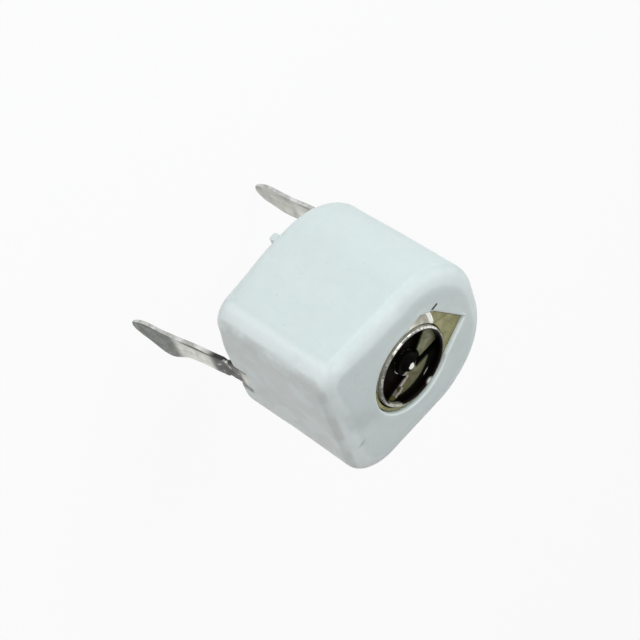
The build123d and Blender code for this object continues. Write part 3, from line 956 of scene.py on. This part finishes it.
def silver(name, light, rough_low):
    m = Nodes(name)
    tone = m.ramp(m.noise(3.0, 4, 0.6), [(0.3, tuple(c * 0.6 for c in light)), (0.7, light)])
    m.put(colour=tone, metal=1.0, rough=m.span(m.noise(6.0, 3), 0.3, 0.7, rough_low, rough_low + 0.2))
    m.bump(m.noise(12.0, 3), 0.006, 0.5)
    return m.mat


# pieces
def dress(obj, body, slot, mat, *replaced):
    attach(obj, body)
    if replaced:
        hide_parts(*replaced)
    obj.data.materials.clear()
    obj.data.materials.append(mat)


def soften(node, width, mat):
    """Keeps a CAD piece, with its sharp edges rolled over a little and its own material."""
    obj = nodes[node]
    obj.data.materials.clear()
    obj.data.materials.append(mat)
    weld = obj.modifiers.new("weld", "WELD")
    weld.merge_threshold = 1e-7
    flat = obj.modifiers.new("planar", "DECIMATE")
    flat.decimate_type = "DISSOLVE"
    flat.angle_limit = math.radians(1.0)
    bevel = obj.modifiers.new("edges", "BEVEL")
    bevel.width = width * MM
    bevel.segments = 3
    bevel.limit_method = "ANGLE"
    bevel.angle_limit = math.radians(40)
    bevel.use_clamp_overlap = True
    bevel.harden_normals = False


case = make_case()
for end in (-1, 1):
    join_boolean(case, make_foot(end))
join_boolean(case, make_slit(), "DIFFERENCE")
case.data.polygons.foreach_set("use_smooth", [True] * len(case.data.polygons))
case.data.set_sharp_from_angle(angle=math.radians(38))
dress(case, "fixed", "case", case_plastic(), "case")

rotor_lead = make_terminal("rotor_lead_strip", -1, 9.0, 3.85, 1.0, riser_top=4.27)
dress(rotor_lead, "fixed", "lead", lead_metal("rotor_lead_tin", 0.0, 0.89, 1.0), "rotor_terminal")
stator_lead = make_terminal("stator_lead_strip", 1, -4.5, 4.28, 0.35)
dress(stator_lead, "fixed", "lead", lead_metal("stator_lead_tin", -0.5, 0.30, 0.5), "stator_terminal")

dress(make_cup(), "rotor", "cup", cup_metal(), "rotor_cup")
dress(make_rivet(), "rotor", "cup", rivet_metal(), "rivet")

contact = make_contact_plate()
dress(contact, "fixed", "brass", contact_brass(), "contact_plate")
soften("drive_plate", 0.022, drive_brass())
soften("base", 0.05, base_plastic())
soften("rotor_disc", 0.02, dark_ceramic())
soften("stator_disc", 0.03, pale_ceramic())
soften("retaining_washer", 0.015, silver("washer_plating", (0.62, 0.61, 0.58), 0.28))
soften("spring_washer", 0.008, silver("spring_steel", (0.50, 0.49, 0.45), 0.25))
for film in ("stator_film", "rotor_film"):
    soften(film, 0.008, silver(film + "_fired", (0.70, 0.69, 0.66), 0.35))


# floor, light, camera
def clear_tree(owner):
    owner.use_nodes = True
    owner.node_tree.nodes.clear()
    return owner.node_tree


def shader_node(tree, kind, level, strength=None):
    """Shader node of one grey level."""
    node = tree.nodes.new(kind)
    node.inputs["Color"].default_value = (level, level, level, 1)
    if strength is not None:
        node.inputs["Strength"].default_value = strength
    return node.outputs[0]


def show_white(tree, plain, white, out_kind, share):
    """Mixes white, by the given share, into what camera, gloss and glass rays see of the plain shader."""
    path = tree.nodes.new("ShaderNodeLightPath")
    seen = path.outputs["Is Camera Ray"]
    for kind, value in (("MAXIMUM", path.outputs["Is Glossy Ray"]),
                        ("MAXIMUM", path.outputs["Is Transmission Ray"]), ("MULTIPLY", share)):
        node = tree.nodes.new("ShaderNodeMath")
        node.operation = kind
        tree.links.new(seen, node.inputs[0])
        if isinstance(value, float):
            node.inputs[1].default_value = value
        else:
            tree.links.new(value, node.inputs[1])
        seen = node.outputs["Value"]
    mix = tree.nodes.new("ShaderNodeMixShader")
    out = tree.nodes.new(out_kind)
    for socket, value in zip(mix.inputs, (seen, plain, white)):
        tree.links.new(value, socket)
    tree.links.new(mix.outputs["Shader"], out.inputs["Surface"])


def make_floor():
    half, z = 260.0, -4.30
    steps = 8
    marks = [lerp(-half, half, i / steps) for i in range(steps + 1)]
    floor = make_object("floor", [(x, y, z) for y in marks for x in marks], grid_faces(steps + 1, steps + 1))
    mat = bpy.data.materials.new("floor_paper")
    tree = clear_tree(mat)
    paper = shader_node(tree, "ShaderNodeBsdfDiffuse", 0.90)
    white = shader_node(tree, "ShaderNodeEmission", 1.0, 1.0)
    show_white(tree, paper, white, "ShaderNodeOutputMaterial", 0.92)
    floor.data.materials.append(mat)


def make_world():
    world = bpy.data.worlds.new("studio")
    scene.world = world
    tree = clear_tree(world)
    ambient = shader_node(tree, "ShaderNodeBackground", 1.0, 0.315)
    white = shader_node(tree, "ShaderNodeBackground", 1.0, 1.0)
    show_white(tree, ambient, white, "ShaderNodeOutputWorld", 1.0)


def make_lamp(name, place, size, level, colour=(1, 1, 1)):
    """Square soft box aimed at the middle of the case; level is what it adds on a white surface facing it."""
    target = Vector((0, 0, 2.0))
    place = Vector(place)
    lamp = bpy.data.lights.new(name, "AREA")
    lamp.shape = "SQUARE"
    lamp.size = size * MM
    lamp.color = colour
    distance = (place - target).length * MM
    lamp.energy = level * math.pi ** 2 * distance ** 2
    obj = bpy.data.objects.new(name, lamp)
    obj.location = place * MM
    obj.rotation_euler = (target - place).to_track_quat("-Z", "Y").to_euler()
    scene.collection.objects.link(obj)


def make_camera():
    right = Vector((0.66668, -0.24138, 0.70518))
    down = Vector((-0.68327, -0.57593, 0.44883))
    ahead = Vector((0.2978, -0.78105, -0.54889))
    place = Vector((-14.2357, 36.5419, 27.1582)) * MM
    turn = Matrix((right, -down, -ahead)).transposed()
    lens = bpy.data.cameras.new("camera")
    lens.sensor_width = 36.0
    lens.lens = 89.93
    lens.clip_start = 0.001
    lens.clip_end = 10.0
    obj = bpy.data.objects.new("camera", lens)
    obj.matrix_world = Matrix.Translation(place) @ turn.to_4x4()
    scene.collection.objects.link(obj)
    scene.camera = obj


make_floor()
make_world()
make_lamp("key", (28, 54, 35), 56, 0.66, (0.91, 1.0, 1.02))
make_lamp("fill", (-55, 20, 20), 50, 0.19)
make_camera()
